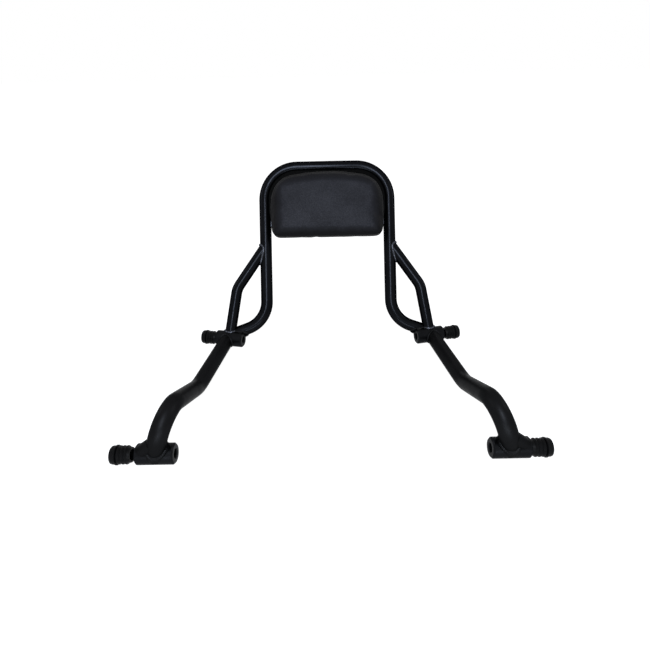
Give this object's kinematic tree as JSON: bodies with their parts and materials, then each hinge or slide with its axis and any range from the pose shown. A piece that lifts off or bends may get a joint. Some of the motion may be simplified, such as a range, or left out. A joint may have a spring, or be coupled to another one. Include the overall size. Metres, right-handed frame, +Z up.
{
  "type": "motorcycle backrest",
  "caption": "Motorcycle passenger backrest: a leaning tube hoop with a cushion, side struts and long cranked arms that end in round bolt bosses with rubber plugs.",
  "frame": {"origin": "on the floor under the middle of the whole part's box", "axes": "+X to the right as the picture shows it, +Y to the rear where the hoop leans, +Z up from the floor that the bosses stand on"},
  "size_m": [0.5724, 0.4798, 0.2899],
  "materials": {
    "frame_steel": "satin",
    "weld_bead": "gloss",
    "cushion_cover": "matte",
    "base_board": "matte",
    "plug_rubber": "matte",
    "screw_steel": "satin"
  },
  "bodies": {
    "root": {"hoop_tube": "frame_steel", "strut_left": "frame_steel", "strut_right": "frame_steel", "arm_left": "frame_steel", "arm_right": "frame_steel", "boss_front_left": "frame_steel", "boss_front_right": "frame_steel", "boss_rear_left": "frame_steel", "boss_rear_right": "frame_steel", "weld_front_left": "weld_bead", "weld_front_right": "weld_bead", "weld_strut_left": "weld_bead", "weld_strut_right": "weld_bead", "weld_rear_left": "weld_bead", "weld_rear_right": "weld_bead", "weld_plate_left": "weld_bead", "weld_plate_right": "weld_bead", "plug_front_left": "plug_rubber", "plug_front_right": "plug_rubber", "plug_rear_left": "plug_rubber", "plug_rear_right": "plug_rubber", "pad_cushion": "cushion_cover", "pad_board": "base_board", "pad_plate": "frame_steel", "pad_screws": "screw_steel"}
  },
  "joints": []
}
